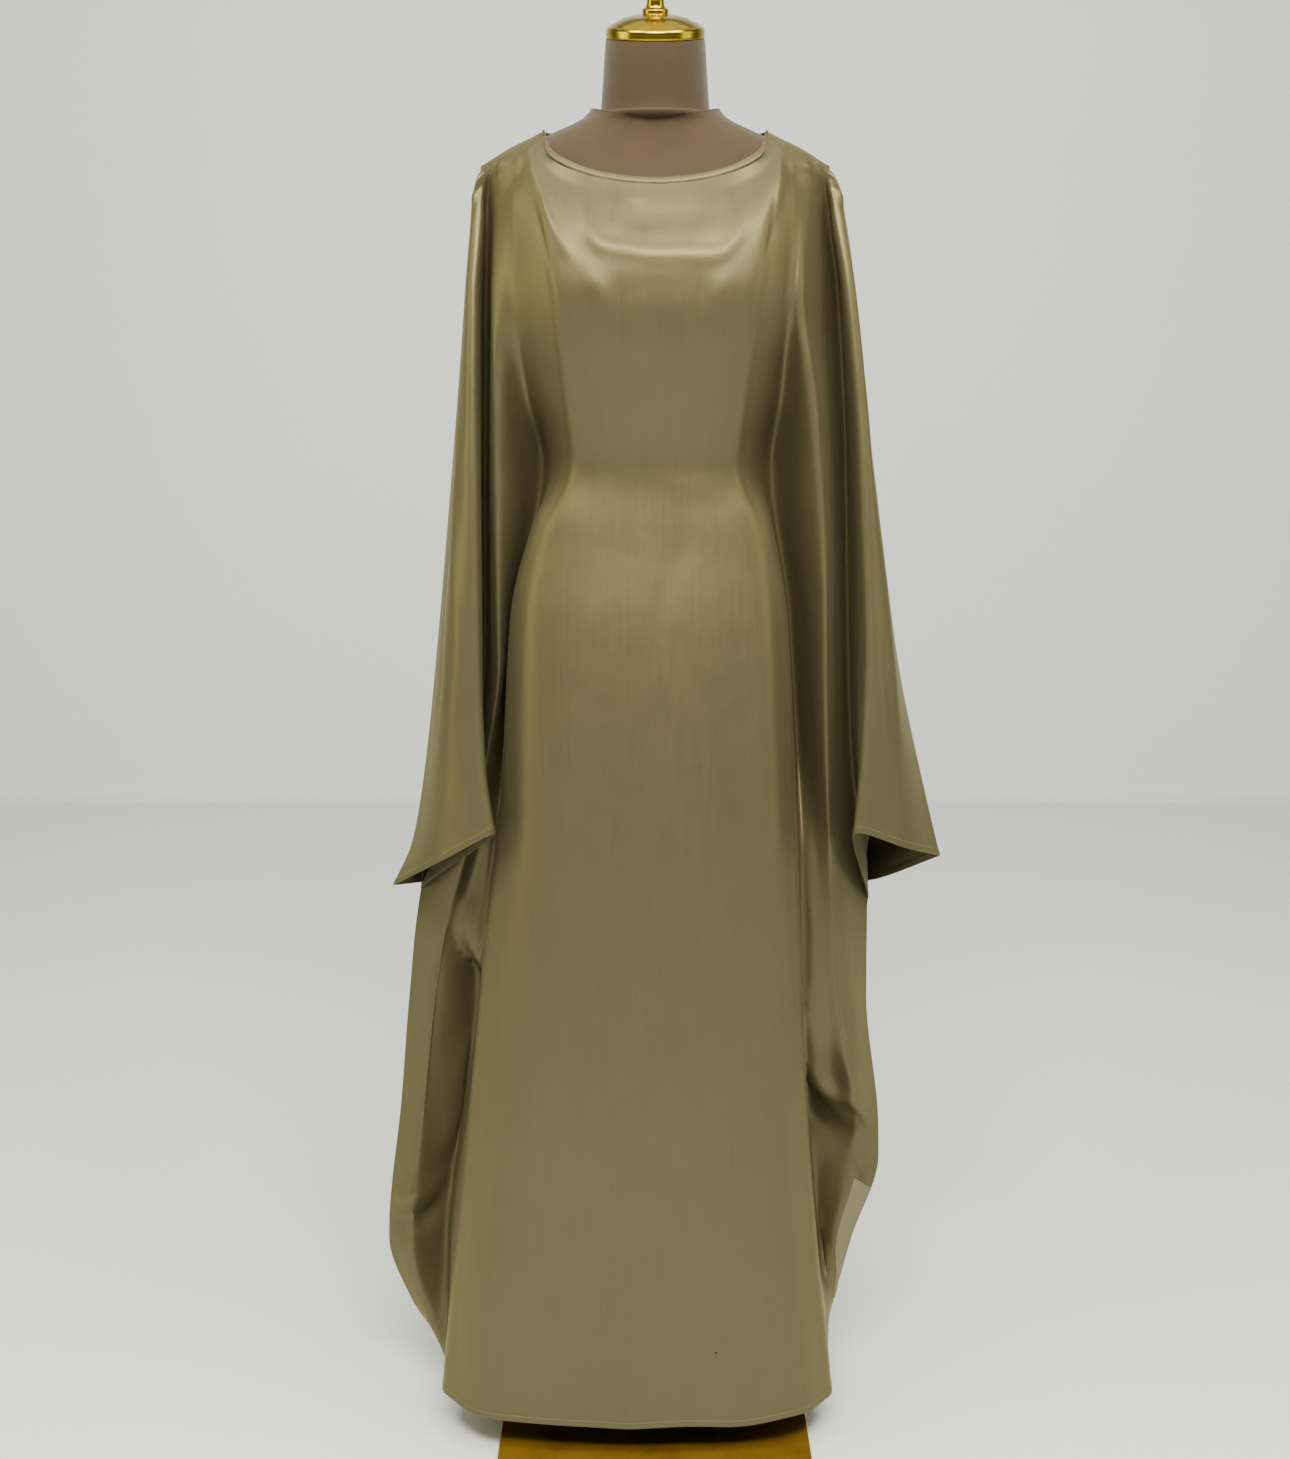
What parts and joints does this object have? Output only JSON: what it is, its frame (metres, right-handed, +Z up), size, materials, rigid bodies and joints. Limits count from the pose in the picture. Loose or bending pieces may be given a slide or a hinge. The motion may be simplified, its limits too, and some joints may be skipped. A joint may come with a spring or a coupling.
{
  "type": "batwing kaftan robe on a limbless dress form",
  "caption": "Long batwing kaftan robe in plain satin, worn open at neck, cuffs and hem by a limbless dress form on a pole and a square base plate.",
  "frame": {"origin": "middle of the base plate's underside, on the floor", "axes": "+Z up along the pole, +Y towards the back of the robe, +X towards the wearer's left, which is the right of the front view"},
  "size_m": [0.6508, 0.358, 1.6394],
  "materials": {
    "satin": "smooth olive champagne satin with a soft sheen",
    "satin_binding": "the same satin, folded into a narrow neckline binding",
    "form_cover": "matte dusty brown jersey stretched over the form",
    "gold": "polished gold plating"
  },
  "bodies": {
    "root": {"front_panel": "satin", "back_panel": "satin", "neck_binding": "satin_binding", "form_torso": "form_cover", "form_neck": "form_cover", "neck_cap": "gold", "pole": "gold", "pole_collar": "gold", "base_plate": "gold"}
  },
  "joints": []
}
